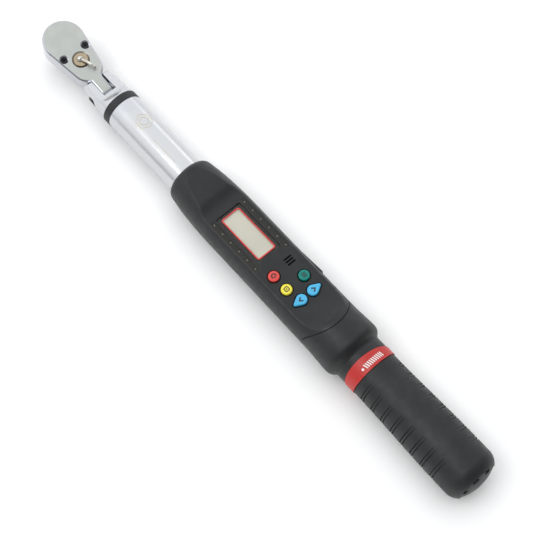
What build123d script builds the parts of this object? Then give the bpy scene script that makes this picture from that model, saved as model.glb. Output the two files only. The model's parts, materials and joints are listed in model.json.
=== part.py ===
"""Flex-head electronic torque wrench with a 3/8 inch square drive.

Frame: +X runs from the drive towards the handle's end, along the axis of the tube, +Z is up, on the
display's side, and the origin is where the drive's axis leaves the head's underside.
All lengths are in millimetres.
"""
import os
from math import cos, pi, radians, sin

from build123d import *

# ---- Driving dimensions -------------------------------------------------------------------------

UNDERSIDE_Z = -16.5              # the plane that the body and grip lie on
RUN = 0.05                       # radial clearance of a running fit
FIT = 0.02                       # radial clearance of a seated fit

# Head, in its own frame: origin on the drive's axis at the underside, x towards the flex bolt.
HEAD_TILT = 10.0                 # the head is stored flexed up by this angle, in degrees
HEAD_RADIUS = 13.7
HEAD_HEIGHT = 12.8
NECK_X = 24.0                    # centre of the round that ends the head's tapering part
NECK_RADIUS = 9.9
FLEX_HEIGHT = 7.54               # flex bolt's axis above the underside
FLEX_REACH = FLEX_HEIGHT / sin(radians(HEAD_TILT)) * cos(radians(HEAD_TILT))
TANG_HALF = 4.2
TANG_RADIUS = HEAD_HEIGHT - FLEX_HEIGHT
TANG_RIM = 1.5                   # rounding of the tang's upper rims
PLATE_THICKNESS = 1.6
POCKET_TOP = 9.6                 # ceiling of the ratchet's pocket
SCREW_X = 11.0
SCREW_Y = 8.5

# Ratchet
TEETH = 60
GEAR_TIP = 9.6
GEAR_ROOT = 9.1
DRIVE_SQUARE = 9.525
DRIVE_LENGTH = 11.0
HUB_RADIUS = 6.9
BALL_RADIUS = 2.0
BALL_DEPTH = -6.6                # height of the detent ball's centre
PAWL_PIN_X = 12.6
PAWL_PIN_TOP = 10.5
PAWL_ROCK = 5.0                  # the pawl's swing each side of its middle, in degrees
LEVER_X = 17.4
LEVER_DISC = 4.75
ARM_RADIUS = 0.95
LEVER_SWING = 18.6               # the lever's angle each side of its middle, in degrees
LEVER_SEAT = 10.9                # bottom of the disc's seat in the top face

# Flex joint, yoke and tube
FLEX_X = FLEX_HEIGHT / sin(radians(HEAD_TILT))
FLEX_RADIUS = 2.5
EAR_RADIUS = 10.6                # the round of the ears' ends, about the flex bolt
EAR_TIP_X = FLEX_X - EAR_RADIUS
EAR_HALF_HEIGHT = 7.4
BOLT_HEAD_RADIUS = 3.4
SLOT_HALF = 4.55
SLOT_FLOOR_X = 49.1
YOKE_END_X = 57.2
RING_END_X = 62.6
RING_RADIUS = 12.95
TUBE_RADIUS = 12.75
TUBE_BORE = 11.3
TUBE_END_X = 149.5
SPIGOT_END_X = 76.0

# Body
BODY_AXIS_Z = 1.2
NOSE_X = 125.2
PANEL_Z = 12.9
PANEL_START_X = 160.0
PANEL_END_X = 240.0
PANEL_RIM_RADIUS = 2.5
CEILING_Z = 10.9
CAVITY_RADIUS = 16.5
CAVITY_START_X = 138.0
FLOOR_Z = -14.3
SPLIT_Z = -8.0                   # joint between the upper and lower shells
SEAM_X = 261.6                   # the arched seam, on the centre line
SEAM_RADIUS = 22.4
SEAM_GAP = 0.35
SHOULDER_X = 273.5
CORE_RADIUS = 8.0
CORE_BORE = 6.2

# Display, lights and buttons
LENS_X = (163.5, 201.5)
LENS_HALF = 9.2
LCD_X = (165.6, 199.6)
LCD_HALF = 6.9
STRIP_X = (162.4, 205.0)
STRIP_Y = 11.9
STRIP_WIDTH = 3.2
LIGHT_START_X = 165.2
LIGHT_PITCH = 7.5
LIGHT_COUNT = 6
BOARD_Z = (8.3, 9.5)
BUTTON_RADIUS = 3.45
BUTTON_TOP_Z = 14.2
BUTTON_GAP = 0.75
FLANGE_Z = (10.45, 10.85)
ARROW_X = 235.4
ARROW_Y = 4.45
ARROW_TIP = 9.3
ARROW_TIP_RADIUS = 1.1
PORT_X = (211.0, 228.7)
PORT_Z = (0.8, 8.8)

# Handle
GRIP_AXIS_Z = 0.8
COLLAR_RADIUS = 16.0             # the slim neck in front of the grip
BAND_END_X = 294.2
GRIP_START_X = 294.4
END_X = 382.0
HANDLE_RADIUS = 12.6
HANDLE_BORE = 11.6
HANDLE_START_X = 282.8
HANDLE_END_X = 376.0
CELL_RADIUS = 5.2
CELL_LENGTH = 44.5
CELL_Y = 5.45
CELL_START_X = 288.6
GROOVE_PAIRS = 8
GROOVE_START_X = 301.3           # middle of the first pair, on the -Y side
GROOVE_PITCH = 8.36
GROOVE_HALF_GAP = 0.97
GROOVE_WIDTH = 0.85
GROOVE_DEPTH = 1.1
GROOVE_LAG = 1.3                 # how far the +Y side's pairs lie behind those of the -Y side
CAP_RADIUS = 13.2
CAP_DOME = 3.1
CAP_NOTCHES = 8
CAP_RECESS_X = 378.9
CONTACT_RADIUS = 9.5

os.makedirs("parts", exist_ok=True)


# ---- Helpers ------------------------------------------------------------------------------------

def block(x, y, z):
    """A box between the pairs of limits x, y and z."""
    size = (x[1] - x[0], y[1] - y[0], z[1] - z[0])
    middle = ((x[0] + x[1]) / 2, (y[0] + y[1]) / 2, (z[0] + z[1]) / 2)
    return Pos(*middle) * Box(*size)


def rod_x(radius, x, y=0.0, z=0.0):
    """A cylinder along X between the limits x."""
    return Pos((x[0] + x[1]) / 2, y, z) * Rot(0, 90, 0) * Cylinder(radius, x[1] - x[0])


def rod_y(radius, y, x=0.0, z=0.0):
    """A cylinder along Y between the limits y."""
    return Pos(x, (y[0] + y[1]) / 2, z) * Rot(90, 0, 0) * Cylinder(radius, y[1] - y[0])


def rod_z(radius, z, x=0.0, y=0.0):
    """A cylinder along Z between the limits z."""
    return Pos(x, y, (z[0] + z[1]) / 2) * Cylinder(radius, z[1] - z[0])


def pipe_x(outer, inner, x, y=0.0, z=0.0):
    """A pipe along X between the limits x."""
    return rod_x(outer, x, y, z) - rod_x(inner, (x[0] - 1, x[1] + 1), y, z)


def two_round_hull(first, second, z):
    """A prism between the heights z around two circles, each given as x, y and radius."""
    circles = [Pos(x, y) * Circle(radius) for x, y, radius in (first, second)]
    outline = make_hull(circles[0].edges() + circles[1].edges())
    return Pos(0, 0, z[0]) * extrude(outline, z[1] - z[0])


def turned_about_x(points, axis_z):
    """A solid turned about an axis along X from a profile of x and radius."""
    wire = Polyline(*[(x, radius) for x, radius in points], close=True)
    profile = make_face(Plane.XZ * wire)
    return Pos(0, 0, axis_z) * revolve(profile, Axis.X)


def coil_z(radius, wire_radius, z, turns):
    """A round-wire spring along Z between the limits z, measured over the wire's centre."""
    height = z[1] - z[0]
    path = Pos(0, 0, z[0]) * Helix(height / turns, height, radius)
    section = Plane(origin=path @ 0, z_dir=path % 0) * Circle(wire_radius)
    return sweep(section, path=path, is_frenet=True)


def save(name, shape):
    """Write one node."""
    export_step(shape, f"parts/{name}.step")


def save_head(name, shape):
    """Write one node of the head, tilted about the drive's seat into its stored position."""
    save(name, Rot(0, HEAD_TILT, 0) * shape)


# ---- Head ---------------------------------------------------------------------------------------

def gear_prism(extra, z):
    """The toothed wheel's prism, with its outline grown by extra."""
    points = []
    for step in range(2 * TEETH):
        radius = (GEAR_TIP if step % 2 == 0 else GEAR_ROOT) + extra
        angle = pi * step / TEETH
        points.append((radius * cos(angle), radius * sin(angle)))
    return Pos(0, 0, z[0]) * extrude(make_face(Polyline(*points, close=True)), z[1] - z[0])


def on_tang_rim(edge):
    """Whether an edge is one of the tang's two upper rims, straight along the top and round its end."""
    middle = edge @ 0.5
    at_side = abs(abs(middle.Y) - TANG_HALF) < 0.01
    return at_side and (middle.Z > HEAD_HEIGHT - 0.01 or middle.X > FLEX_REACH + 0.1)


def head_body():
    rim = 0.9
    outline = two_round_hull((0, 0, HEAD_RADIUS), (NECK_X, 0, NECK_RADIUS), (0, HEAD_HEIGHT))
    top = outline.faces().sort_by(Axis.Z)[-1]
    bottom = outline.faces().sort_by(Axis.Z)[0]
    body = chamfer(top.edges() + bottom.edges(), rim)
    tang = block((NECK_X, FLEX_REACH), (-TANG_HALF, TANG_HALF), (FLEX_HEIGHT - TANG_RADIUS, HEAD_HEIGHT))
    tang += rod_y(TANG_RADIUS, (-TANG_HALF, TANG_HALF), FLEX_REACH, FLEX_HEIGHT)
    tang = fillet([edge for edge in tang.edges() if on_tang_rim(edge)], TANG_RIM)
    for side in (-1, 1):
        body -= rod_y(EAR_RADIUS + 0.4, sorted((side * TANG_HALF, side * 20)), FLEX_REACH, FLEX_HEIGHT)
    body += tang
    # ratchet pocket, open below
    pocket = (PLATE_THICKNESS - 0.01, POCKET_TOP)
    body -= rod_z(10.1, pocket)
    body -= block((5, 15.4), (-6.5, 6.5), pocket)
    body -= rod_z(3.8, pocket, LEVER_X)
    body -= rod_z(4 + RUN, (POCKET_TOP - 1, 11.2))
    # recess of the cover plate
    recess = (-1, PLATE_THICKNESS)
    body -= two_round_hull((0, 0, 12.3), (19, 0, 8.2), recess)
    # reversing lever's seat and stem
    body -= rod_z(LEVER_DISC + 0.1, (LEVER_SEAT, HEAD_HEIGHT + 1), LEVER_X)
    body -= rod_z(2.3 + RUN, (POCKET_TOP - 1, HEAD_HEIGHT), LEVER_X)
    body -= Pos(LEVER_X, 0, HEAD_HEIGHT - 0.4) * Cone(LEVER_DISC + 0.1, LEVER_DISC + 1.1, 1.0)
    body -= rod_z(0.8 + FIT, (1, PAWL_PIN_TOP + 0.05), PAWL_PIN_X)
    # flex bolt's hole and the two cover screws' holes
    body -= rod_y(FLEX_RADIUS + RUN, (-9, 9), FLEX_REACH, FLEX_HEIGHT)
    for side in (-1, 1):
        body -= rod_z(1.35, (-1, HEAD_HEIGHT), SCREW_X, side * SCREW_Y)
        body -= rod_z(2.2, (8.6, HEAD_HEIGHT + 1), SCREW_X, side * SCREW_Y)
        body -= Pos(SCREW_X, side * SCREW_Y, HEAD_HEIGHT - 0.35) * Cone(2.2, 3.1, 0.9)
    return body


def head_cover_plate():
    top = PLATE_THICKNESS - 0.02
    plate = two_round_hull((0, 0, 12.2), (19, 0, 8.1), (0, top))
    plate = chamfer(plate.faces().sort_by(Axis.Z)[0].edges(), 0.3)
    plate -= rod_z(HUB_RADIUS + RUN, (-1, 3))
    for side in (-1, 1):
        plate -= rod_z(1.25 + FIT, (-1, 3), SCREW_X, side * SCREW_Y)
    return plate


def cover_screws():
    screws = []
    for side in (-1, 1):
        screw = rod_z(1.25, (0.1, 8.7), SCREW_X, side * SCREW_Y)
        screw += rod_z(2.0, (8.65, 11.0), SCREW_X, side * SCREW_Y)
        socket = Pos(SCREW_X, side * SCREW_Y, 9.8) * extrude(RegularPolygon(1.15, 6), 2)
        screws.append(screw - socket)
    return Compound(screws)


def drive_gear():
    half = DRIVE_SQUARE / 2
    gear = gear_prism(0, (PLATE_THICKNESS + 0.2, POCKET_TOP - 0.2))
    gear += rod_z(HUB_RADIUS, (0, PLATE_THICKNESS + 0.5))
    gear += rod_z(4.0, (POCKET_TOP - 0.5, 11.0))
    square = block((-half, half), (-half, half), (-DRIVE_LENGTH, 0.5))
    square = chamfer(square.edges().filter_by(Axis.Z), 0.5)
    square = chamfer(square.faces().sort_by(Axis.Z)[0].edges(), 0.6)
    gear += square
    gear -= rod_y(BALL_RADIUS + RUN, (-1.6, half + 1), 0, BALL_DEPTH)
    return gear


def pawl():
    """Double-ended pawl, swung so that its end on the -Y side is in mesh."""
    z = (2.6, 8.8)
    sector = rod_z(11.9, z) - rod_z(9.72, (z[0] - 1, z[1] + 1))
    reach = 14.0
    wedge = Polyline((0, 0), (reach, -reach * 0.577), (reach, reach * 0.577), close=True)
    blank = sector & (Pos(0, 0, z[0]) * extrude(make_face(wedge), z[1] - z[0]))
    blank += rod_z(1.5, z, PAWL_PIN_X)
    blank += block((11.0, PAWL_PIN_X), (-1.5, 1.5), z)
    blank -= rod_z(0.8 + RUN, (0, 12), PAWL_PIN_X)
    teeth = gear_prism(0.12, (z[0] - 1, z[1] + 1))
    for swing in (-PAWL_ROCK, PAWL_ROCK):
        blank -= swung(teeth, -swing)
    return swung(blank, -PAWL_ROCK)


def swung(shape, angle):
    """The shape turned about the pawl's pin."""
    return Pos(PAWL_PIN_X, 0, 0) * Rot(0, 0, angle) * Pos(-PAWL_PIN_X, 0, 0) * shape


def turned_with_lever(shape):
    """The shape turned about the lever's stem from its middle to its stored side."""
    return Pos(LEVER_X, 0, 0) * Rot(0, 0, LEVER_SWING) * shape


def reversing_lever():
    disc = rod_z(LEVER_DISC, (LEVER_SEAT + 0.05, HEAD_HEIGHT + 0.2))
    disc = chamfer(disc.faces().sort_by(Axis.Z)[-1].edges(), 0.3)
    stem = rod_z(2.3, (3.2, LEVER_SEAT + 0.2))
    stem -= rod_z(2.4, (8.3, 9.0)) - rod_z(1.7, (8.0, 9.3))
    stem -= rod_x(0.7, (-3.0, 1.2), 0, 5.7)
    path = Spline((-0.6, 0, 13.2), (2.8, 0, 14.6), (6.6, 0, 15.4), (10.4, 0, 14.9))
    section = Plane(origin=path @ 0, z_dir=path % 0) * Circle(ARM_RADIUS)
    arm = sweep(section, path=path)
    boss = Pos(-0.6, 0, HEAD_HEIGHT) * Sphere(2.3)
    boss -= rod_z(4, (HEAD_HEIGHT - 4, HEAD_HEIGHT - 0.5), -0.6)
    thumb = Pos(10.3, 0, 14.9) * Sphere(ARM_RADIUS + 0.2)
    return turned_with_lever(disc + stem + arm + boss + thumb)


def lever_clip():
    clip = rod_z(3.3, (8.4, 8.9)) - rod_z(1.75, (8, 9.5))
    clip -= block((0, 4), (-0.9, 0.9), (8, 9.5))
    return turned_with_lever(clip)


def selector_plunger():
    return turned_with_lever(rod_x(0.65, (-2.6, -1.0), 0, 5.7) + Pos(-2.6, 0, 5.7) * Sphere(0.65))


def selector_spring():
    return turned_with_lever(Pos(0, 0, 5.7) * Rot(0, 90, 0) * coil_z(0.45, 0.12, (-0.85, 1.0), 4))


def save_head_parts():
    save_head("head_body", head_body())
    save_head("head_cover_plate", head_cover_plate())
    save_head("cover_screws", cover_screws())
    save_head("drive_gear", drive_gear())
    ball_y = DRIVE_SQUARE / 2 - BALL_RADIUS + 0.7
    save_head("detent_ball", Pos(0, ball_y, BALL_DEPTH) * Sphere(BALL_RADIUS))
    spring = Pos(0, 0, BALL_DEPTH) * Rot(90, 0, 0) * coil_z(1.3, 0.25, (-0.6, 1.3), 4)
    save_head("detent_spring", spring)
    save_head("pawl", pawl())
    save_head("pawl_pin", rod_z(0.8, (PLATE_THICKNESS, PAWL_PIN_TOP), PAWL_PIN_X))
    save_head("reversing_lever", reversing_lever())
    save_head("lever_clip", lever_clip())
    save_head("selector_plunger", selector_plunger())
    save_head("selector_spring", selector_spring())
    washers = [
        rod_y(4.6, side, FLEX_REACH, FLEX_HEIGHT) - rod_y(FLEX_RADIUS + RUN, (-9, 9), FLEX_REACH, FLEX_HEIGHT)
        for side in ((-SLOT_HALF + 0.05, -TANG_HALF - 0.02), (TANG_HALF + 0.02, SLOT_HALF - 0.05))
    ]
    save_head("friction_washers", Compound(washers))


# ---- Yoke, tube and core ------------------------------------------------------------------------

def yoke():
    profile = [(EAR_TIP_X, 0), (EAR_TIP_X, 10.0), (EAR_TIP_X + 3.5, 11.0)]
    profile += [(YOKE_END_X, TUBE_RADIUS - 0.05), (YOKE_END_X, 0)]
    cone = turned_about_x(profile, 0)
    half = EAR_HALF_HEIGHT
    rise = YOKE_END_X - 0.7
    side = Polyline((EAR_TIP_X, 0), (EAR_TIP_X, half), (46.0, half))
    ramp = Spline((46.0, half), (51.6, half + 1.5), (rise, TUBE_RADIUS))
    lid = Polyline((rise, TUBE_RADIUS), (YOKE_END_X, TUBE_RADIUS), (YOKE_END_X, 0), (EAR_TIP_X, 0))
    upper = make_face(Plane.XZ * Wire(side.edges() + ramp.edges() + lid.edges()))
    flank = extrude(upper, 20, both=True)
    flank += mirror(flank, Plane.XY)
    body = cone & flank
    body &= rod_y(EAR_RADIUS, (-20, 20), FLEX_X) + block((FLEX_X, 100), (-20, 20), (-20, 20))
    body += rod_x(TUBE_BORE - RUN, (YOKE_END_X - 0.5, SPIGOT_END_X))
    body -= block((EAR_TIP_X - 5, SLOT_FLOOR_X), (-SLOT_HALF, SLOT_HALF), (-20, 20))
    body -= rod_y(FLEX_RADIUS + FIT, (-20, 20), FLEX_X)
    body -= rod_y(BOLT_HEAD_RADIUS + 0.25, (-20, -9.4), FLEX_X)
    body -= rod_x(5.0 + FIT, (62.0, SPIGOT_END_X + 1))
    body -= rod_x(1.65, (SLOT_FLOOR_X - 1, 58.5))
    body -= rod_z(1.5 + FIT, (-20, 20), 70)
    return body


def flex_bolt():
    bolt = rod_y(FLEX_RADIUS, (-9.5, 11.1), FLEX_X)
    bolt += rod_y(BOLT_HEAD_RADIUS, (-10.9, -9.42), FLEX_X)
    socket = Pos(FLEX_X, -9.6, 0) * Rot(90, 0, 0) * extrude(RegularPolygon(2.0, 6), 2)
    return bolt - socket


def strain_beam():
    beam = rod_x(5.0, (62.4, 79))
    beam += block((78, 129), (-3.5, 3.5), (-7, 7))
    beam += rod_x(CORE_BORE - RUN, (128, 152))
    beam -= block((97, 111), (-5, 5), (-3.2, 3.2))
    beam -= rod_z(1.5 + FIT, (-20, 20), 70)
    beam -= rod_z(1.5 + FIT, (-20, 20), 143)
    return beam


def strain_gauges():
    gauges = []
    for y in ((-3.66, -3.51), (3.51, 3.66)):
        for z in (-5.1, 5.1):
            gauges.append(block((100.5, 107.5), y, (z - 1.5, z + 1.5)))
    return Compound(gauges)


def core_tube():
    flange = (HANDLE_START_X + 0.1, HANDLE_START_X + 1.6)
    tube = rod_x(CORE_RADIUS, (136, flange[1]))
    tube += rod_x(HANDLE_BORE - RUN, flange, 0, GRIP_AXIS_Z)
    tube -= rod_x(CORE_BORE, (130, 290))
    return tube - rod_z(1.5 + FIT, (-20, 20), 143)


def save_frame_parts():
    save("yoke", yoke())
    save("flex_bolt", flex_bolt())
    plunger = rod_x(1.6, (SLOT_FLOOR_X + 0.6, 54)) + Pos(SLOT_FLOOR_X + 1.4, 0, 0) * Sphere(1.6)
    plunger &= block((SLOT_FLOOR_X - 0.2, 60), (-3, 3), (-3, 3))
    save("flex_plunger", plunger)
    save("flex_spring", Rot(0, 90, 0) * coil_z(1.15, 0.22, (54.3, 58.2), 5))
    save("seal_ring", pipe_x(RING_RADIUS, TUBE_BORE, (YOKE_END_X + 0.05, RING_END_X)))
    save("outer_tube", pipe_x(TUBE_RADIUS, TUBE_BORE, (RING_END_X + 0.1, TUBE_END_X)))
    save("front_pin", rod_z(1.5, (-11.0, 11.0), 70))
    save("strain_beam", strain_beam())
    save("strain_gauges", strain_gauges())
    save("rear_pin", rod_z(1.5, (-7.9, 7.9), 143))
    save("tube_bushing", pipe_x(TUBE_BORE - RUN, CORE_RADIUS + RUN, (138.5, 148)))
    save("core_tube", core_tube())


# ---- Body shells --------------------------------------------------------------------------------

def body_form():
    """The whole outer form of the body, from its nose to the end of the shoulder."""
    nose = Spline((NOSE_X, 13.6), (126.6, 15.2), (131.0, 16.4), (138.0, 17.35), (148.0, 18.2),
                  (158.0, 18.7), (168.0, 18.85))
    flank = Line((168.0, 18.85), (245.0, 18.85))
    flare = Spline((245.0, 18.85), (262.0, 19.05), (SHOULDER_X, 19.6), tangents=((1, 0), (1, 0)))
    corner = Bezier((SHOULDER_X, 19.6), (279.2, 19.6), (277.6, 15.6), (282.5, 15.5))
    close = Polyline((282.5, 15.5), (282.5, 0), (NOSE_X, 0), (NOSE_X, 13.6))
    edges = nose.edges() + flank.edges() + flare.edges() + corner.edges() + close.edges()
    form = Pos(0, 0, BODY_AXIS_Z) * Rot(180, 0, 0) * revolve(make_face(Plane.XZ * Wire(edges)), Axis.X)
    form -= top_relief()
    form -= block((100, 300), (-30, 30), (-40, UNDERSIDE_Z))
    return form


def top_relief():
    """What is cut from the round form to leave the nose's flat top and the display panel."""
    facet = Polyline((124.0, 40), (124.0, 17.4), (149.0, 15.6))
    slope = Bezier((149.0, 15.6), (152.5, 15.35), (155.0, PANEL_Z), (PANEL_START_X, PANEL_Z))
    panel = Line((PANEL_START_X, PANEL_Z), (PANEL_END_X, PANEL_Z))
    ramp = Bezier((PANEL_END_X, PANEL_Z), (252.0, 13.4), (257.0, 16.4), (261.5, 23.0))
    close = Polyline((261.5, 23.0), (261.5, 40), (124.0, 40))
    edges = facet.edges() + slope.edges() + panel.edges() + ramp.edges() + close.edges()
    return extrude(make_face(Plane.XZ * Wire(edges)), 30, both=True)


def soft_edges(form):
    """The body's form with the edges around its sunk panel and the nose's flat top rounded."""
    def on_rim(edge):
        middle = edge @ 0.5
        across = edge.geom_type == GeomType.LINE and abs((edge % 0.5).Y) > 0.9
        return 127.5 < middle.X < 262 and middle.Z > 8 and not across

    return fillet([edge for edge in form.edges() if on_rim(edge)], PANEL_RIM_RADIUS)


def seam_side(gap):
    """The space in front of the arched seam, less a gap."""
    centre = SEAM_X - SEAM_RADIUS
    space = rod_z(SEAM_RADIUS - gap, (-40, 40), centre)
    return space + block((60, centre), (-SEAM_RADIUS + gap, SEAM_RADIUS - gap), (-40, 40))


def cavity(radius, ceiling, floor, x):
    """The hollow inside the shells between the limits x."""
    room = rod_x(radius, x, 0, BODY_AXIS_Z)
    return room & block((x[0] - 1, x[1] + 1), (-30, 30), (floor, ceiling))


def arrow_outline(grow, z, side):
    """A drop-shaped prism that points to the given side, grown by grow."""
    ends = ((ARROW_X, side * ARROW_Y, BUTTON_RADIUS + grow),
            (ARROW_X, side * ARROW_TIP, ARROW_TIP_RADIUS + grow))
    return two_round_hull(ends[0], ends[1], z)


def round_outline(grow, z, x, y):
    """A round button's prism, grown by grow."""
    return rod_z(BUTTON_RADIUS + grow, z, x, y)


BUTTONS = {
    "clear_button": lambda grow, z: round_outline(grow, z, 213.7, -7.1),
    "mode_button": lambda grow, z: round_outline(grow, z, 224.9, 6.9),
    "unit_button": lambda grow, z: round_outline(grow, z, 224.9, -6.9),
    "up_button": lambda grow, z: arrow_outline(grow, z, 1),
    "down_button": lambda grow, z: arrow_outline(grow, z, -1),
}
DOMES = ((213.7, -7.1), (224.9, 6.9), (224.9, -6.9), (ARROW_X, ARROW_Y), (ARROW_X, -ARROW_Y))
BOSSES = ((154.5, -11.2), (154.5, 11.2), (247.8, -11.2), (247.8, 11.2))


def slot_prism(side, grow, z):
    """A light strip's long window with round ends."""
    length = STRIP_X[1] - STRIP_X[0] + 2 * grow
    middle = (STRIP_X[0] + STRIP_X[1]) / 2
    outline = Pos(middle, side * STRIP_Y) * SlotOverall(length, STRIP_WIDTH + 2 * grow)
    return Pos(0, 0, z[0]) * extrude(outline, z[1] - z[0])


def front_shell():
    """Both front shells in one, before they are split."""
    shell = soft_edges(body_form()) & seam_side(SEAM_GAP / 2)
    shell -= rod_x(TUBE_RADIUS + FIT, (100, TUBE_END_X + 0.3))
    shell -= cavity(CAVITY_RADIUS - 1.2, CEILING_Z, FLOOR_Z, (CAVITY_START_X, 156))
    shell -= cavity(CAVITY_RADIUS, CEILING_Z, FLOOR_Z, (155.9, 265))
    return shell


def housing_top():
    shell = front_shell() & block((60, 300), (-30, 30), (SPLIT_Z + 0.03, 40))
    for x, y in BOSSES:
        shell += rod_z(2.7, (SPLIT_Z + 0.03, CEILING_Z + 0.5), x, y)
        shell -= rod_z(1.1 + FIT, (-20, 3), x, y)
    through = (CEILING_Z - 1, 30)
    window = Rectangle(LENS_X[1] - LENS_X[0] + 0.3, 2 * LENS_HALF + 0.3)
    window = fillet(window.vertices(), 1.2)
    middle = (LENS_X[0] + LENS_X[1]) / 2
    shell -= Pos(middle, 0, CEILING_Z + 0.95) * extrude(window, 5)
    shell -= block((LCD_X[0] - 0.2, LCD_X[1] + 0.2), (-LCD_HALF - 0.2, LCD_HALF + 0.2), through)
    for side in (-1, 1):
        shell -= slot_prism(side, 0.12, through)
    for step in range(3):
        sound = Rot(0, 0, 90) * SlotOverall(5.8, 1.0)
        shell -= Pos(209.9 + 2.0 * step, 7.0, CEILING_Z - 1) * extrude(sound, 10)
    for outline in BUTTONS.values():
        shell -= outline(BUTTON_GAP, through)
    shell -= block(PORT_X, (14, 30), PORT_Z)
    return shell


def housing_bottom():
    shell = front_shell() & block((60, 300), (-30, 30), (-40, SPLIT_Z - 0.03))
    for x, y in BOSSES:
        shell += rod_z(2.7, (FLOOR_Z - 0.5, SPLIT_Z - 0.03), x, y)
        shell -= rod_z(1.1 + RUN, (-20, 0), x, y)
        shell -= rod_z(2.4, (-20, -13.6), x, y)
    return shell


def housing_screws():
    screws = []
    for x, y in BOSSES:
        screw = rod_z(1.1, (-13.7, 2.5), x, y) + rod_z(2.2, (-15.4, -13.62), x, y)
        screws.append(screw - block((x - 1.6, x + 1.6), (y - 0.3, y + 0.3), (-16, -14.6)))
    return Compound(screws)


def rear_housing():
    shell = soft_edges(body_form()) - seam_side(-SEAM_GAP / 2)
    shell &= block((200, 300), (-30, 30), (-40, 40))
    neck = rod_x(COLLAR_RADIUS, (270, BAND_END_X - 0.1), 0, GRIP_AXIS_Z)
    neck &= block((270, 300), (-30, 30), (UNDERSIDE_Z, 40))
    shell += neck
    lip = cavity(CAVITY_RADIUS - 0.1, CEILING_Z - 0.1, FLOOR_Z + 0.1, (240, 262))
    shell += lip - seam_side(4.0)
    shell -= cavity(CAVITY_RADIUS - 1.5, CEILING_Z - 1.2, FLOOR_Z + 1.4, (225, 278))
    shell -= rod_x(CORE_RADIUS + RUN, (270, 290))
    return shell - rod_x(HANDLE_RADIUS + FIT, (HANDLE_START_X - 0.2, 300), 0, GRIP_AXIS_Z)


def save_body_parts():
    save("housing_top", housing_top())
    save("housing_bottom", housing_bottom())
    save("housing_screws", housing_screws())
    save("rear_housing", rear_housing())


# ---- Display, lights, buttons and electronics -----------------------------------------------------

def button(outline):
    cap = outline(0, (FLANGE_Z[1] - 0.1, BUTTON_TOP_Z))
    cap = fillet(cap.faces().sort_by(Axis.Z)[-1].edges(), 0.7)
    flange = outline(BUTTON_GAP + 0.2, FLANGE_Z)
    return cap + flange


def display_lens():
    outline = Rectangle(LENS_X[1] - LENS_X[0], 2 * LENS_HALF)
    outline = fillet(outline.vertices(), 1.0)
    middle = (LENS_X[0] + LENS_X[1]) / 2
    lens = Pos(middle, 0, CEILING_Z + 0.97) * extrude(outline, 0.8)
    return chamfer(lens.faces().sort_by(Axis.Z)[-1].edges(), 0.15)


def light_row(side):
    top = BOARD_Z[1]
    lights = []
    for step in range(LIGHT_COUNT):
        x = LIGHT_START_X + LIGHT_PITCH * step
        y = side * STRIP_Y
        lights.append(block((x - 0.9, x + 0.9), (y - 0.6, y + 0.6), (top, top + 0.9)))
    return Compound(lights)


def circuit_board():
    board = block((160, 244), (-12.9, 12.9), BOARD_Z)
    chips = (((170, 178), (-4, 4)), ((184, 190), (-3, 3)), ((226, 233), (-3.5, 3.5)))
    for x, y in chips:
        board += block(x, y, (BOARD_Z[0] - 0.25, BOARD_Z[0] + 0.1))
    return board


def save_electronics():
    save("circuit_board", circuit_board())
    lcd = block(LCD_X, (-LCD_HALF, LCD_HALF), (BOARD_Z[1] + 0.02, CEILING_Z + 0.9))
    save("lcd_module", lcd)
    save("display_lens", display_lens())
    for name, side in (("left", 1), ("right", -1)):
        save(f"light_strip_{name}", slot_prism(side, 0, (CEILING_Z + 0.05, PANEL_Z - 0.3)))
        save(f"light_row_{name}", light_row(side))
    for name, outline in BUTTONS.items():
        save(name, button(outline))
    domes = [rod_z(1.8, (BOARD_Z[1], BOARD_Z[1] + 0.28), x, y) for x, y in DOMES]
    save("dome_switches", Compound(domes))
    save("sounder", rod_z(4.2, (BOARD_Z[1], BOARD_Z[1] + 0.9), 211.9, 7.0))
    port = block((216.0, 223.6), (8.4, 15.4), (BOARD_Z[0] - 3.6, BOARD_Z[0] - 0.02))
    save("data_port", port - block((217.0, 222.6), (11, 20), (BOARD_Z[0] - 2.9, BOARD_Z[0] - 0.9)))
    save("port_cover", port_cover())


def port_cover():
    room = 0.3
    x = (PORT_X[0] + room, PORT_X[1] - room)
    outer = turned_about_x([(x[0], 0), (x[0], 18.95), (x[1], 19.7), (x[1], 0)], BODY_AXIS_Z)
    outer -= rod_x(17.2, (x[0] - 1, x[1] + 1), 0, BODY_AXIS_Z)
    cover = outer & block((200, 240), (14, 30), (PORT_Z[0] + room, PORT_Z[1] - room))
    faces = cover.faces().sort_by(Axis.Y)
    return chamfer(faces[-1].edges(), 0.3)


# ---- Handle --------------------------------------------------------------------------------------

def grip():
    skin = Spline((GRIP_START_X, 15.95), (309.0, 16.15), (335.0, 16.9), (360.0, 17.38), (371.0, 17.35),
                  tangents=((1, 0), (1, 0)))
    end = ThreePointArc((371.0, 17.35), (376.6, 15.9), (379.0, CAP_RADIUS + 0.7))
    close = Polyline((379.0, CAP_RADIUS + 0.7), (379.0, 0), (GRIP_START_X, 0), (GRIP_START_X, 15.95))
    edges = skin.edges() + end.edges() + close.edges()
    body = Pos(0, 0, GRIP_AXIS_Z) * revolve(make_face(Plane.XZ * Wire(edges)), Axis.X)
    body &= block((290, 400), (-30, 30), (UNDERSIDE_Z, 40))
    for step in range(GROOVE_PAIRS):
        x = GROOVE_START_X + GROOVE_PITCH * step
        for half in (-GROOVE_HALF_GAP, GROOVE_HALF_GAP):
            body -= grip_groove(x + half, -1)
            body -= grip_groove(x + half + GROOVE_LAG, 1)
    body -= rod_x(HANDLE_RADIUS + FIT, (290, HANDLE_END_X + 0.3), 0, GRIP_AXIS_Z)
    return body - rod_x(CAP_RADIUS + 0.2, (HANDLE_END_X + 0.2, 400), 0, GRIP_AXIS_Z)


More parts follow.
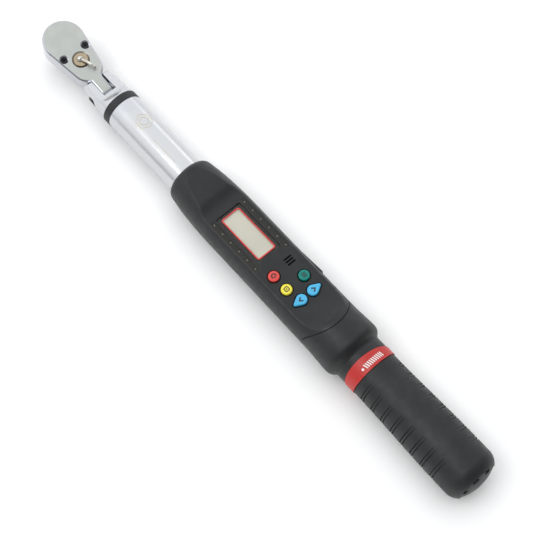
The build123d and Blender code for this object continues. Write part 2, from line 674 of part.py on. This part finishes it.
def grip_groove(x, side):
    """A ring whose inside just reaches into one side of the grip, so that it cuts a lens shape."""
    share = (x - GRIP_START_X) / (360.0 - GRIP_START_X)
    radius = 15.95 + 1.4 * min(share, 1.0)
    offset = 2.6
    reach = radius + offset - GROOVE_DEPTH
    limits = (x - GROOVE_WIDTH / 2, x + GROOVE_WIDTH / 2)
    return pipe_x(24, reach, limits, -side * offset, GRIP_AXIS_Z)


def red_band():
    band = pipe_x(COLLAR_RADIUS + 0.45, COLLAR_RADIUS + FIT, (280, BAND_END_X), 0, GRIP_AXIS_Z)
    front = Pos(288.7, 0, 0) * Rot(0, -10.8, -5.1) * block((-30, 0), (-30, 30), (-40, 40))
    return band - front


def cell(x, y):
    body = rod_x(CELL_RADIUS, (x + 0.2, x + CELL_LENGTH - 1.2), y, GRIP_AXIS_Z)
    body = chamfer(body.edges(), 0.4)
    return body + rod_x(1.9, (x + CELL_LENGTH - 1.3, x + CELL_LENGTH), y, GRIP_AXIS_Z)


def battery_cap():
    dome = (CAP_RADIUS ** 2 + CAP_DOME ** 2) / (2 * CAP_DOME)
    cap = rod_x(CAP_RADIUS, (376.5, END_X)) & (Pos(END_X - dome, 0, 0) * Sphere(dome))
    rim = [edge for edge in cap.edges() if edge.center().X > 377 and edge.length > 20]
    cap = fillet(rim, 0.9)
    cap += rod_x(HANDLE_BORE - 0.1, (374.5, 377))
    cap -= rod_x(HANDLE_BORE - 0.8, (374, 376.95)) + rod_x(CONTACT_RADIUS + 0.2, (376, CAP_RECESS_X))
    for step in range(CAP_NOTCHES):
        angle = 360 / CAP_NOTCHES * step + 17
        notch = block((378.4, 390), (CAP_RADIUS - 2.6, 20), (-2.1, 2.1))
        cap -= Rot(angle, 0, 0) * notch
    return Pos(0, 0, GRIP_AXIS_Z) * cap


def contact_springs():
    springs = []
    for side in (-1, 1):
        coil = Rot(0, 90, 0) * coil_z(3.2, 0.3, (285.8, 288.2), 2)
        springs.append(Pos(0, side * CELL_Y, GRIP_AXIS_Z) * coil)
    return Compound(springs)


def save_handle_parts():
    axis = (0, GRIP_AXIS_Z)
    save("handle_tube", pipe_x(HANDLE_RADIUS, HANDLE_BORE, (HANDLE_START_X, HANDLE_END_X), *axis))
    save("grip", grip())
    save("red_band", red_band())
    for row, x in (("front", CELL_START_X), ("rear", CELL_START_X + CELL_LENGTH + 0.3)):
        for name, side in (("left", 1), ("right", -1)):
            save(f"cell_{row}_{name}", cell(x, side * CELL_Y))
    save("contact_board", rod_x(HANDLE_BORE - 0.1, (284.5, 285.4), *axis))
    save("contact_springs", contact_springs())
    save("cap_contact", rod_x(CONTACT_RADIUS, (378.1, CAP_RECESS_X - 0.02), *axis))
    save("cap_seal", Pos(HANDLE_END_X + 0.25, 0, GRIP_AXIS_Z) * Rot(0, 90, 0) * Torus(11.8, 0.21))
    save("battery_cap", battery_cap())


def main():
    save_head_parts()
    save_frame_parts()
    save_body_parts()
    save_electronics()
    save_handle_parts()


main()
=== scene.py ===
import json
import math

import bpy
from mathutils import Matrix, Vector


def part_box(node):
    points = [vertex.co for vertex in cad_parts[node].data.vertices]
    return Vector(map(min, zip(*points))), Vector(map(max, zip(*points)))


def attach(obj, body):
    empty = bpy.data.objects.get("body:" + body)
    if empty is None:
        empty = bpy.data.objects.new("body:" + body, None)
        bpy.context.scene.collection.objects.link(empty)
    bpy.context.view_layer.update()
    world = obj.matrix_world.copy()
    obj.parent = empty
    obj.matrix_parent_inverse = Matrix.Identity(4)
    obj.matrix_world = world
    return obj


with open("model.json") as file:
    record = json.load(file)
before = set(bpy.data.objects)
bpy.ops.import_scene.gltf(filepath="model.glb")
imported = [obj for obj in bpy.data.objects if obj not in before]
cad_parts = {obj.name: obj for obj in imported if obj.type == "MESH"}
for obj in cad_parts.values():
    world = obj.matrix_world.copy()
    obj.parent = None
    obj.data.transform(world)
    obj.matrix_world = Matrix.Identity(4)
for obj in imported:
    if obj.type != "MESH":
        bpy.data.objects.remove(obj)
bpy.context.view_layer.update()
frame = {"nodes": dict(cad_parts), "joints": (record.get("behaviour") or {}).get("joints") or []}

MM = 0.001

# ---- Places taken from the frame ---------------------------------------------------------------

DRIVE_UP = tuple(Vector(next(j["axis"] for j in frame["joints"] if j["name"] == "drive_spin")).normalized())
FLOOR_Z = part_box("housing_bottom")[0].z


def corners_mm(node):
    """The low and high corners of a node's box, in millimetres."""
    return [[part / MM for part in corner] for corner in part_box(node)]


# ---- Materials ---------------------------------------------------------------------------------

PLASTIC_EDGE = 0.0003            # edge radii, in metres
METAL_EDGE = 0.00015
HEAD_FLAT = (0.975, 0.985)       # cosines of the slants between which polish turns into satin
LEVER_ARM = (13.05, 13.25)       # heights in millimetres between which bronze turns into silver
KEY_SHADE_TOP = (12.3, 12.5)           # heights in millimetres between which a key's painted shade (black, in the gap round it) turns into colour


class Look:
    """A procedural material: a Principled shader and the helpers that feed it."""

    def __init__(self, name, color, **values):
        self.material = bpy.data.materials.new(name)
        self.material.use_nodes = True
        self.tree = self.material.node_tree
        self.shader = self.tree.nodes["Principled BSDF"]
        self.shader.inputs["Base Color"].default_value = (*color, 1)
        for key, value in values.items():
            self.shader.inputs[key.replace("_", " ")].default_value = value
        coords = self.tree.nodes.new("ShaderNodeTexCoord")
        self.place = coords.outputs["Object"]
        self.facing = coords.outputs["Normal"]
        self.bumped = None

    def node(self, kind, **inputs):
        made = self.tree.nodes.new(kind)
        for key, value in inputs.items():
            self.feed(made.inputs[key.replace("_", " ")], value)
        return made

    def feed(self, socket, value):
        if isinstance(value, bpy.types.NodeSocket):
            self.tree.links.new(value, socket)
        else:
            socket.default_value = value

    def to(self, name, value):
        """Feeds an input of the Principled shader."""
        self.feed(self.shader.inputs[name], value)

    def stretched(self, x, y, z):
        """The place, scaled so that a pattern is drawn out along an axis with a small factor."""
        return self.node("ShaderNodeMapping", Vector=self.place, Scale=(x, y, z)).outputs["Vector"]

    def noise(self, size, detail, vector=None):
        """Smooth noise whose features are about size metres across."""
        made = self.node("ShaderNodeTexNoise", Vector=vector or self.place, Scale=1 / size, Detail=detail)
        return made.outputs["Fac"]

    def cells(self, size):
        """Rounded cells about size metres across."""
        return self.node("ShaderNodeTexVoronoi", Vector=self.place, Scale=1 / size).outputs["Distance"]

    def spread(self, value, low, high, start=0.35, end=0.65):
        """Turns the range from start to end into the range from low to high."""
        made = self.node("ShaderNodeMapRange", Value=value, From_Min=start, From_Max=end, To_Min=low,
                         To_Max=high)
        return made.outputs["Result"]

    def mixed(self, factor, first, second):
        """Blends two colours, each a tuple or a socket."""
        made = self.tree.nodes.new("ShaderNodeMix")
        made.data_type = "RGBA"
        colors = [(*color, 1) if isinstance(color, tuple) else color for color in (first, second)]
        self.feed(made.inputs[0], factor)
        self.feed(made.inputs[6], colors[0])
        self.feed(made.inputs[7], colors[1])
        return made.outputs[2]

    def dot(self, vector, axis):
        """How far a vector reaches along an axis."""
        made = self.tree.nodes.new("ShaderNodeVectorMath")
        made.operation = "DOT_PRODUCT"
        self.feed(made.inputs[0], vector)
        self.feed(made.inputs[1], axis)
        return made.outputs["Value"]

    def worked_out(self, operation, *values):
        """The result of a Math node."""
        made = self.tree.nodes.new("ShaderNodeMath")
        made.operation = operation
        for socket, value in zip(made.inputs, values):
            self.feed(socket, value)
        return made.outputs["Value"]

    def bump(self, height, depth, strength):
        """Adds relief of the given depth in metres on what is already there."""
        self.add_relief(self.node("ShaderNodeBump", Height=height, Distance=depth, Strength=strength))

    def rounded(self, radius):
        """Softens sharp edges by a small radius."""
        made = self.node("ShaderNodeBevel", Radius=radius)
        made.samples = 4
        self.add_relief(made)

    def add_relief(self, made):
        """Runs the surface's direction through one more node."""
        if self.bumped is not None:
            self.feed(made.inputs["Normal"], self.bumped)
        self.bumped = made.outputs["Normal"]
        self.to("Normal", self.bumped)


def soft_plastic(name, dark, light, rough, grain):
    """Soft-touch moulded plastic or rubber with a fine spark-eroded grain."""
    look = Look(name, dark, Specular_IOR_Level=0.4)
    look.rounded(PLASTIC_EDGE)
    look.to("Base Color", look.mixed(look.spread(look.noise(0.012, 5), 0, 1), dark, light))
    wear = look.noise(0.004, 6)
    look.to("Roughness", look.spread(wear, rough - 0.05, rough + 0.06))
    look.bump(look.noise(grain, 2), 0.00002, 0.5)
    look.bump(look.cells(grain * 1.8), 0.000012, 0.35)
    return look.material


def plated_metal(name, color, tint, rough, turned=False):
    """Plated or bare steel with faint smudges and fine scratches."""
    look = Look(name, color, Metallic=1.0)
    look.rounded(METAL_EDGE)
    look.to("Base Color", look.mixed(look.spread(look.noise(0.02, 4), 0, 1), color, tint))
    smudge = look.noise(0.007, 5)
    look.to("Roughness", look.spread(smudge, rough - 0.03, rough + 0.05))
    lines = look.stretched(1, 0.06, 0.06) if turned else look.stretched(0.06, 1, 1)
    look.bump(look.noise(0.00025, 3, lines), 0.000003, 0.35)
    return look.material


def head_metal():
    """Satin flats on the top and underside, polished sides and bevels."""
    satin, polished = (0.475, 0.495, 0.475), (0.55, 0.56, 0.60)
    look = Look("head_steel", polished, Metallic=1.0)
    upright = look.worked_out("ABSOLUTE", look.dot(look.facing, DRIVE_UP))
    share = look.spread(upright, 0.0, 1.0, *HEAD_FLAT)
    look.rounded(METAL_EDGE)
    tone = look.mixed(look.spread(look.noise(0.009, 5), 0, 1), satin, (0.51, 0.53, 0.51))
    look.to("Base Color", look.mixed(share, polished, tone))
    smudge = look.spread(look.noise(0.003, 5), 0.0, 0.07)
    base = look.spread(share, 0.13, 0.42, 0.0, 1.0)
    look.to("Roughness", look.worked_out("ADD", base, smudge))
    look.bump(look.noise(0.00022, 2), 0.000006, 0.3)
    return look.material


def lever_metal():
    """A warm bronze disc under a bright polished arm."""
    bronze, silver = (0.42, 0.34, 0.24), (0.62, 0.59, 0.54)
    look = Look("lever_metal", silver, Metallic=1.0)
    height = look.dot(look.place, DRIVE_UP)
    high = look.spread(height, 0.0, 1.0, LEVER_ARM[0] * MM, LEVER_ARM[1] * MM)
    look.rounded(METAL_EDGE)
    look.to("Base Color", look.mixed(high, bronze, silver))
    look.to("Roughness", look.spread(look.noise(0.002, 4), 0.16, 0.28))
    look.bump(look.noise(0.0003, 3), 0.000004, 0.3)
    return look.material


def display_glass(name, tint, alpha):
    """A clear or smoked window."""
    look = Look(name, tint, Roughness=0.04, IOR=1.45, Alpha=alpha, Specular_IOR_Level=0.5)
    look.bump(look.noise(0.01, 2), 0.000004, 0.2)
    look.material.use_transparent_shadow = True
    return look.material


def screen():
    """A passive display: greenish beige with a fine cell pattern."""
    look = Look("display_screen", (0.76, 0.73, 0.60), Roughness=0.5)
    tone = look.spread(look.noise(0.02, 2), 0, 1)
    look.to("Base Color", look.mixed(tone, (0.72, 0.70, 0.58), (0.79, 0.765, 0.64)))
    look.to("Roughness", look.spread(look.noise(0.0006, 2), 0.4, 0.5))
    look.bump(look.cells(0.0003), 0.000005, 0.2)
    return look.material


def printed(name, color, rough=0.5):
    """Ink or paint with a slightly uneven coat."""
    look = Look(name, color, Roughness=rough)
    pale = tuple(min(1.0, part * 1.12 + 0.01) for part in color)
    look.to("Base Color", look.mixed(look.spread(look.noise(0.0008, 4), 0, 1), color, pale))
    look.to("Roughness", look.spread(look.noise(0.0004, 3), rough - 0.06, rough + 0.08))
    look.bump(look.noise(0.0002, 2), 0.000004, 0.3)
    return look.material


def silicone(name, color):
    """Moulded silicone rubber of a key: coloured on top, with painted shade in black down in the gap round
    it.
    """
    look = Look(name, color, Specular_IOR_Level=0.4, Subsurface_Weight=0.08)
    look.shader.inputs["Subsurface Radius"].default_value = (0.001, 0.0006, 0.0005)
    look.rounded(PLASTIC_EDGE)
    deep = tuple(part * 0.88 for part in color)
    apart = look.node("ShaderNodeSeparateXYZ", Vector=look.place)
    # Painted shade: below these heights the key is near-black, as the gap round it lies in shade.
    above_shade = look.spread(apart.outputs["Z"], 0.0, 1.0, KEY_SHADE_TOP[0] * MM, KEY_SHADE_TOP[1] * MM)
    dyed = look.mixed(look.spread(look.noise(0.002, 4), 0, 1), deep, color)
    look.to("Base Color", look.mixed(above_shade, (0.006, 0.006, 0.006), dyed))
    look.to("Roughness", look.spread(look.noise(0.0015, 4), 0.36, 0.46))
    look.bump(look.noise(0.00018, 2), 0.000008, 0.3)
    return look.material


def floor_paint():
    """Matt white paint."""
    look = Look("floor_paint", (0.80, 0.80, 0.80), Roughness=0.75, Specular_IOR_Level=0.2)
    look.to("Roughness", look.spread(look.noise(0.08, 3), 0.7, 0.8))
    return look.material


BODY_DARK, BODY_LIGHT = (0.0125, 0.013, 0.014), (0.017, 0.018, 0.019)
CHROME, CHROME_COOL = (0.62, 0.625, 0.635), (0.595, 0.61, 0.64)

LOOKS = {
    "head_body": head_metal(),
    "reversing_lever": lever_metal(),
    "display_lens": display_glass("lens_glass", (0.10, 0.10, 0.09), 0.06),
    "lcd_module": screen(),
    "clear_button": silicone("key_red", (0.84, 0.085, 0.075)),
    "mode_button": silicone("key_green", (0.0, 0.25, 0.215)),
    "unit_button": silicone("key_yellow", (1.0, 0.86, 0.08)),
    "red_band": printed("band_paint", (0.50, 0.016, 0.012), 0.42),
    "battery_cap": soft_plastic("cap_plastic", (0.020, 0.021, 0.022), (0.030, 0.031, 0.032), 0.5, 0.0003),
    "strain_gauges": printed("gauge_film", (0.60, 0.30, 0.06), 0.4),
    "tube_bushing": soft_plastic("bushing_plastic", (0.78, 0.76, 0.70), (0.84, 0.82, 0.77), 0.5, 0.0004),
    "cap_contact": plated_metal("contact_brass", (0.78, 0.62, 0.32), (0.72, 0.58, 0.30), 0.3),
}
SHARED = [
    (plated_metal("cover_steel", (0.62, 0.63, 0.64), (0.55, 0.56, 0.58), 0.34),
     ["head_cover_plate", "lever_clip", "friction_washers", "flex_plunger", "dome_switches"]),
    (plated_metal("drive_steel", (0.58, 0.585, 0.60), (0.50, 0.51, 0.53), 0.28),
     ["drive_gear", "pawl", "pawl_pin", "detent_ball", "selector_plunger"]),
    (plated_metal("spring_steel", (0.55, 0.55, 0.57), (0.45, 0.46, 0.48), 0.3),
     ["detent_spring", "selector_spring", "flex_spring", "contact_springs"]),
    (plated_metal("tube_chrome", CHROME, CHROME_COOL, 0.20, turned=True), ["outer_tube"]),
    (plated_metal("yoke_chrome", CHROME, CHROME_COOL, 0.24), ["yoke"]),
    (plated_metal("black_oxide", (0.055, 0.055, 0.058), (0.03, 0.03, 0.032), 0.38),
     ["cover_screws", "flex_bolt", "housing_screws"]),
    (plated_metal("machined_steel", (0.50, 0.51, 0.53), (0.44, 0.45, 0.47), 0.36, turned=True),
     ["front_pin", "rear_pin", "strain_beam", "core_tube", "handle_tube"]),
    (soft_plastic("ring_rubber", (0.018, 0.019, 0.021), (0.026, 0.027, 0.029), 0.48, 0.0003),
     ["seal_ring", "cap_seal"]),
    (soft_plastic("housing_plastic", BODY_DARK, BODY_LIGHT, 0.46, 0.0004),
     ["housing_top", "housing_bottom", "rear_housing", "port_cover"]),
    (soft_plastic("grip_rubber", (0.014, 0.0145, 0.0155), (0.021, 0.022, 0.023), 0.50, 0.0005), ["grip"]),
    (soft_plastic("port_plastic", (0.015, 0.015, 0.016), (0.022, 0.022, 0.023), 0.4, 0.0003),
     ["sounder", "data_port"]),
    (printed("solder_mask", (0.012, 0.10, 0.035), 0.35), ["circuit_board", "contact_board"]),
    (display_glass("smoked_window", (0.020, 0.019, 0.016), 0.86), ["light_strip_left", "light_strip_right"]),
    (printed("light_chips", (0.72, 0.58, 0.34), 0.3), ["light_row_left", "light_row_right"]),
    (silicone("key_blue", (0.09, 0.53, 0.87)), ["up_button", "down_button"]),
    (printed("cell_jacket", (0.03, 0.05, 0.16), 0.3),
     ["cell_front_left", "cell_front_right", "cell_rear_left", "cell_rear_right"]),
]
for material, names in SHARED:
    for name in names:
        LOOKS[name] = material

for name, node in frame["nodes"].items():
    node.data.materials.clear()
    node.data.materials.append(LOOKS[name])

# ---- Flat marks, laid on flat or round surfaces --------------------------------------------------


def stroke(points, width, closed=False):
    """A band of even width along a line: its corners and faces in the plane."""
    count = len(points)
    sides = []
    for index, here in enumerate(points):
        before = points[index - 1] if closed or index else here
        after = points[(index + 1) % count] if closed or index < count - 1 else here
        first = (Vector(here) - Vector(before)).normalized() if before != here else None
        second = (Vector(after) - Vector(here)).normalized() if after != here else None
        first, second = first or second, second or first
        along = (first + second).normalized()
        across = Vector((-along.y, along.x))
        mitre = max(0.5, across.dot(Vector((-first.y, first.x))))
        reach = across * (width / 2 / mitre)
        sides.append((Vector(here) + reach, Vector(here) - reach))
    corners = [tuple(corner) for pair in sides for corner in pair]
    last = count if closed else count - 1
    faces = []
    for index in range(last):
        follow = (index + 1) % count
        faces.append((2 * index, 2 * index + 1, 2 * follow + 1, 2 * follow))
    return corners, faces


def disc(u, v, radius, count=24):
    """A filled round."""
    ring = [(u + radius * math.cos(math.tau * i / count), v + radius * math.sin(math.tau * i / count))
            for i in range(count)]
    return [(u, v)] + ring, [(0, 1 + i, 1 + (i + 1) % count) for i in range(count)]


def sheet(outer, inner):
    """A flat frame between two closed lines of the same number of points."""
    count = len(outer)
    faces = [(i, (i + 1) % count, count + (i + 1) % count, count + i) for i in range(count)]
    return list(outer) + list(inner), faces


def rounded_box(u, v, radius, steps=6):
    """The outline of a box between the pairs u and v with round corners."""
    centres = ((u[1] - radius, v[1] - radius, 0), (u[0] + radius, v[1] - radius, 90),
               (u[0] + radius, v[0] + radius, 180), (u[1] - radius, v[0] + radius, 270))
    line = []
    for cu, cv, start in centres:
        for step in range(steps + 1):
            angle = math.radians(start + 90 * step / steps)
            line.append((cu + radius * math.cos(angle), cv + radius * math.sin(angle)))
    return line


def split(points, most, closed=False):
    """The same line with no run longer than most."""
    line = []
    pairs = list(zip(points, points[1:] + points[:1] if closed else points[1:]))
    for here, there in pairs:
        steps = max(1, math.ceil((Vector(there) - Vector(here)).length / most))
        line += [tuple(Vector(here).lerp(Vector(there), i / steps)) for i in range(steps)]
    return line if closed else line + [points[-1]]


def flat(z):
    """Lays marks on the level z, in millimetres."""
    return lambda u, v, rise: (u, v, z + rise)


def round_x(radius, axis_z):
    """Lays marks on a round surface about an axis along X; v is the arc's length from the top."""
    def lay(u, v, rise):
        angle = v / radius
        return u, (radius + rise) * math.sin(angle), axis_z + (radius + rise) * math.cos(angle)
    return lay


def mark(name, shapes, lay, rise, material, body, sink=0.02):
    """Builds thin raised marks as one closed mesh that rides on a body."""
    corners, faces = [], []
    for shape_corners, shape_faces in shapes:
        start = len(corners)
        count = len(shape_corners)
        corners += [lay(u, v, rise) for u, v in shape_corners]
        corners += [lay(u, v, -sink) for u, v in shape_corners]
        edges = {}
        for face in shape_faces:
            faces.append([start + i for i in face])
            faces.append([start + count + i for i in reversed(face)])
            for a, b in zip(face, face[1:] + face[:1]):
                edges[(a, b)] = edges.get((a, b), 0) + 1
        for a, b in edges:
            if (b, a) not in edges:
                faces.append([start + b, start + a, start + count + a, start + count + b])
    mesh = bpy.data.meshes.new(name)
    mesh.from_pydata([[part * MM for part in corner] for corner in corners], [], faces)
    mesh.materials.append(material)
    mesh.update()
    piece = bpy.data.objects.new(name, mesh)
    bpy.context.scene.collection.objects.link(piece)
    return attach(piece, body)


# ---- Display -----------------------------------------------------------------------------------

LENS_RIM = 0.15                  # clear edge of the lens outside its printed border
BORDER_LAP = (0.3, 0.6)          # how far the border covers the ends and the sides of the LCD
BORDER_RADIUS = 1.0
LINE_LAP = (0.1, 0.3)            # the same for the middle of the red line
LINE_RADIUS = 1.2
LINE_WIDTH = 0.8

ink_black = printed("ink_black", (0.012, 0.011, 0.010), 0.4)
ink_red = printed("ink_red", (0.66, 0.04, 0.035), 0.4)
ink_white = printed("ink_white", (0.82, 0.82, 0.80), 0.45)


def drawn_in(low, high, lap, radius, steps=6):
    """The outline of a node seen from above, drawn in by lap at its ends and at its sides."""
    ends, sides = lap
    return rounded_box((low[0] + ends, high[0] - ends), (low[1] + sides, high[1] - sides), radius, steps)


def display_marks():
    """The black border under the lens and the red line on top of it."""
    lens_low, lens_high = corners_mm("display_lens")
    lcd_low, lcd_high = corners_mm("lcd_module")
    border = sheet(drawn_in(lens_low, lens_high, (LENS_RIM, LENS_RIM), BORDER_RADIUS),
                   drawn_in(lcd_low, lcd_high, BORDER_LAP, BORDER_RADIUS))
    under = flat(lens_low[2] - 0.015)
    mark("display_border", [border], under, 0.01, ink_black, "frame", 0.0)
    line = stroke(drawn_in(lcd_low, lcd_high, LINE_LAP, LINE_RADIUS), LINE_WIDTH, True)
    mark("display_outline", [line], flat(lens_high[2]), 0.02, ink_red, "frame", 0.0)


display_marks()

# ---- Light strips ------------------------------------------------------------------------------

STRIP_RIM_OFFSET = 0.25
STRIP_RIM_WIDTH = 0.45
STRIP_RIM_RAISE = 0.3            # the rim lies on the panel, this far above the strip
LIGHT_COUNT = 6
LIGHT_HALF = 0.9                 # half the length of a light
DOT_RADIUS = 0.5


def strip_marks(side_name):
    """The dark rim round a light strip, and a dot over each of its lights."""
    low, high = corners_mm(f"light_strip_{side_name}")
    end_radius = (high[1] - low[1]) / 2 + STRIP_RIM_OFFSET
    rim = drawn_in(low, high, (-STRIP_RIM_OFFSET, -STRIP_RIM_OFFSET), end_radius, 8)
    panel = flat(high[2] + STRIP_RIM_RAISE)
    mark(f"strip_rim_{side_name}", [stroke(rim, STRIP_RIM_WIDTH, True)], panel, 0.02, ink_black, "frame")
    row_low, row_high = corners_mm(f"light_row_{side_name}")
    middle = (row_low[1] + row_high[1]) / 2
    first, last = row_low[0] + LIGHT_HALF, row_high[0] - LIGHT_HALF
    pitch = (last - first) / (LIGHT_COUNT - 1)
    dots = [disc(first + pitch * i, middle, DOT_RADIUS) for i in range(LIGHT_COUNT)]
    tan = printed(f"strip_dot_{side_name}", (0.15, 0.125, 0.085), 0.35)
    mark(f"strip_dots_{side_name}", dots, flat(high[2]), 0.015, tan, "frame", 0.0)


strip_marks("left")
strip_marks("right")

# ---- Key symbols -------------------------------------------------------------------------------

ARROW_V = 5.2                    # how far the arrows lie from the middle line
ARROW_REACH = 1.5
ARROW_RISE = 0.9


def arc(u, v, radius, start, end, steps=18):
    """A run of points round a centre, between two angles in degrees."""
    angles = [math.radians(start + (end - start) * i / steps) for i in range(steps + 1)]
    return [(u + radius * math.cos(a), v + radius * math.sin(a)) for a in angles]


def clear_symbol(u, v):
    """An open ring with a bar from its middle."""
    return [stroke(arc(u, v, 1.35, 50, 310), 0.8), stroke([(u + 0.2, v), (u + 1.6, v)], 0.7)]


def mode_symbol(u, v):
    """Three bars."""
    return [stroke([(u + step, v - 1.5), (u + step, v + 1.5)], 0.65) for step in (-1.15, 0.0, 1.15)]


def unit_symbol(u, v):
    """A square with round corners and a dot in its middle."""
    square = rounded_box((u - 1.3, u + 1.3), (v - 1.3, v + 1.3), 0.5)
    return [stroke(square, 0.6, True), disc(u, v, 0.45)]


def arrow_symbol(u, side):
    """A chevron that points away from the middle line."""
    inner, outer = side * (ARROW_V - ARROW_RISE), side * (ARROW_V + ARROW_RISE)
    return [stroke([(u - ARROW_REACH, inner), (u, outer), (u + ARROW_REACH, inner)], 0.85)]


def key_marks(name, symbol):
    """Prints a symbol on a key; symbol makes its shapes about the middle of the key's box."""
    low, high = corners_mm(f"{name}_button")
    shapes = symbol((low[0] + high[0]) / 2, (low[1] + high[1]) / 2)
    mark(f"{name}_symbol", shapes, flat(high[2]), 0.02, ink_black, f"{name}_button")


key_marks("clear", clear_symbol)
key_marks("mode", mode_symbol)
key_marks("unit", unit_symbol)
key_marks("up", lambda u, v: arrow_symbol(u, 1))
key_marks("down", lambda u, v: arrow_symbol(u, -1))

# ---- Etched marks on the tube, printed marks on the band -----------------------------------------

NUT_X, NUT_V = 82, 1.5
NUT_REACH = 5.6
NUT_BORE_RADIUS = 2.9
SCALE_X, SCALE_V = 95, -2.4
TICK_COUNT = 13
TICK_PITCH = 1.8
TICK_SHORT, TICK_LONG = 1.5, 2.5
BARS_X = (289.2, 292.4)
BAR_PITCH = 1.4
BAR_SLANT = 0.9
BAND_DOT_X, BAND_DOT_V = 291, -7.6


def tube_marks():
    """A nut's outline and a scale, etched on the tube."""
    etched = plated_metal("etched_gold", (0.60, 0.52, 0.39), (0.54, 0.47, 0.36), 0.42)
    hexagon = arc(NUT_X, NUT_V, NUT_REACH, 0, 300, 5)
    bore = arc(NUT_X, NUT_V, NUT_BORE_RADIUS, 0, 350, 30)
    shapes = [stroke(split(hexagon, 1.0, True), 0.6, True), stroke(bore, 0.5, True)]
    for i in range(TICK_COUNT):
        x = SCALE_X + TICK_PITCH * i
        length = TICK_SHORT if i % 4 else TICK_LONG
        shapes.append(stroke([(x, SCALE_V), (x, SCALE_V + length)], 0.35))
    end_x = SCALE_X + TICK_PITCH * (TICK_COUNT - 1)
    shapes.append(stroke(split([(SCALE_X, SCALE_V), (end_x, SCALE_V)], 1.0), 0.3))
    tube_radius = corners_mm("outer_tube")[1][1]
    mark("tube_marks", shapes, round_x(tube_radius, 0.0), 0.01, etched, "frame")


def band_marks():
    """Slanted bars and a dot, printed round the band."""
    low, high = corners_mm("red_band")
    radius = (high[1] - low[1]) / 2
    shapes = []
    for i in range(-4, 6):
        bar = [(BARS_X[0], BAR_PITCH * i), (BARS_X[1], BAR_PITCH * i + BAR_SLANT)]
        shapes.append(stroke(split(bar, 0.8), 0.7))
    shapes.append(disc(BAND_DOT_X, BAND_DOT_V, 0.8))
    mark("band_marks", shapes, round_x(radius, high[2] - radius), 0.015, ink_white, "frame")


tube_marks()
band_marks()

# ---- Floor, light and camera ---------------------------------------------------------------------

TARGET = Vector((0.20191, -0.0025, 0.0))     # the point that the camera and the lamps look at
FLOOR_REACH = 6.0
FLOOR_DROP = 0.00002             # keeps the floor just clear of the underside
CAMERA_AZIMUTH, CAMERA_ELEVATION = 48.763, 67.64
CAMERA_DISTANCE = 0.7696
FOCAL_LENGTH = 86.1              # in millimetres, on a sensor 36 mm wide

# The room: white behind the head, dimmer towards the handle's end. Each stop of ROOM is a place
# between straight away from the bright side and straight towards it, and the brightness there.
BRIGHT_SIDE = (-0.80, 0.10, 0.59)
ROOM = ((0.0, 0.22), (0.56, 0.34), (0.74, 1.15), (1.0, 1.2))


def aimed(made, direction, distance):
    """Stands a lamp or a camera off the target in a direction and turns it to the target."""
    away = Vector(direction).normalized()
    made.location = TARGET + away * distance
    made.rotation_mode = "QUATERNION"
    made.rotation_quaternion = (-away).to_track_quat("-Z", "Y")
    bpy.context.scene.collection.objects.link(made)
    return made


def floor_plane():
    level = FLOOR_Z - FLOOR_DROP
    corners = [(x * FLOOR_REACH, y * FLOOR_REACH, level) for x, y in ((-1, -1), (1, -1), (1, 1), (-1, 1))]
    mesh = bpy.data.meshes.new("floor")
    mesh.from_pydata(corners, [], [(0, 1, 2, 3)])
    mesh.materials.append(floor_paint())
    made = bpy.data.objects.new("floor", mesh)
    bpy.context.scene.collection.objects.link(made)
    return made


def softbox(name, direction, distance, size, power):
    """A rectangular area light that looks at the target."""
    data = bpy.data.lights.new(name, "AREA")
    data.shape = "RECTANGLE"
    data.size, data.size_y = size
    data.energy = power
    return aimed(bpy.data.objects.new(name, data), direction, distance)


def studio_room():
    """The world: a soft change of brightness from one side of the room to the other."""
    world = bpy.data.worlds.new("studio")
    world.use_nodes = True
    nodes, links = world.node_tree.nodes, world.node_tree.links
    coords = nodes.new("ShaderNodeTexCoord")
    toward = nodes.new("ShaderNodeVectorMath")
    toward.operation = "DOT_PRODUCT"
    toward.inputs[1].default_value = BRIGHT_SIDE
    share = nodes.new("ShaderNodeMapRange")
    share.inputs["From Min"].default_value = -1.0
    ramp = nodes.new("ShaderNodeValToRGB")
    while len(ramp.color_ramp.elements) < len(ROOM):
        ramp.color_ramp.elements.new(0.5)
    for stop, (place, level) in zip(ramp.color_ramp.elements, ROOM):
        stop.position = place
        stop.color = (level * 0.985, level, level * 1.01, 1)
    links.new(coords.outputs["Generated"], toward.inputs[0])
    links.new(toward.outputs["Value"], share.inputs["Value"])
    links.new(share.outputs["Result"], ramp.inputs["Fac"])
    links.new(ramp.outputs["Color"], nodes["Background"].inputs["Color"])
    return world


def studio_camera():
    data = bpy.data.cameras.new("camera")
    data.lens = FOCAL_LENGTH
    data.sensor_width = 36.0
    data.clip_start = 0.01
    azimuth, elevation = math.radians(CAMERA_AZIMUTH), math.radians(CAMERA_ELEVATION)
    backward = (math.sin(azimuth) * math.cos(elevation), -math.cos(azimuth) * math.cos(elevation),
                math.sin(elevation))
    return aimed(bpy.data.objects.new("camera", data), backward, CAMERA_DISTANCE)


floor = floor_plane()
softbox("key", (-0.16, -0.46, 0.87), 1.3, (0.60, 0.50), 3.2)
softbox("far_rim", (-0.10, 0.92, 0.36), 1.5, (1.3, 0.35), 0.8)
wash = softbox("floor_wash", (0.0, 0.0, 1.0), 1.6, (2.0, 2.0), 16.0)
floor_only = bpy.data.collections.new("floor_only")
floor_only.objects.link(floor)
wash.light_linking.receiver_collection = floor_only
bpy.context.scene.world = studio_room()
bpy.context.scene.camera = studio_camera()
bpy.context.scene.view_settings.view_transform = "Standard"
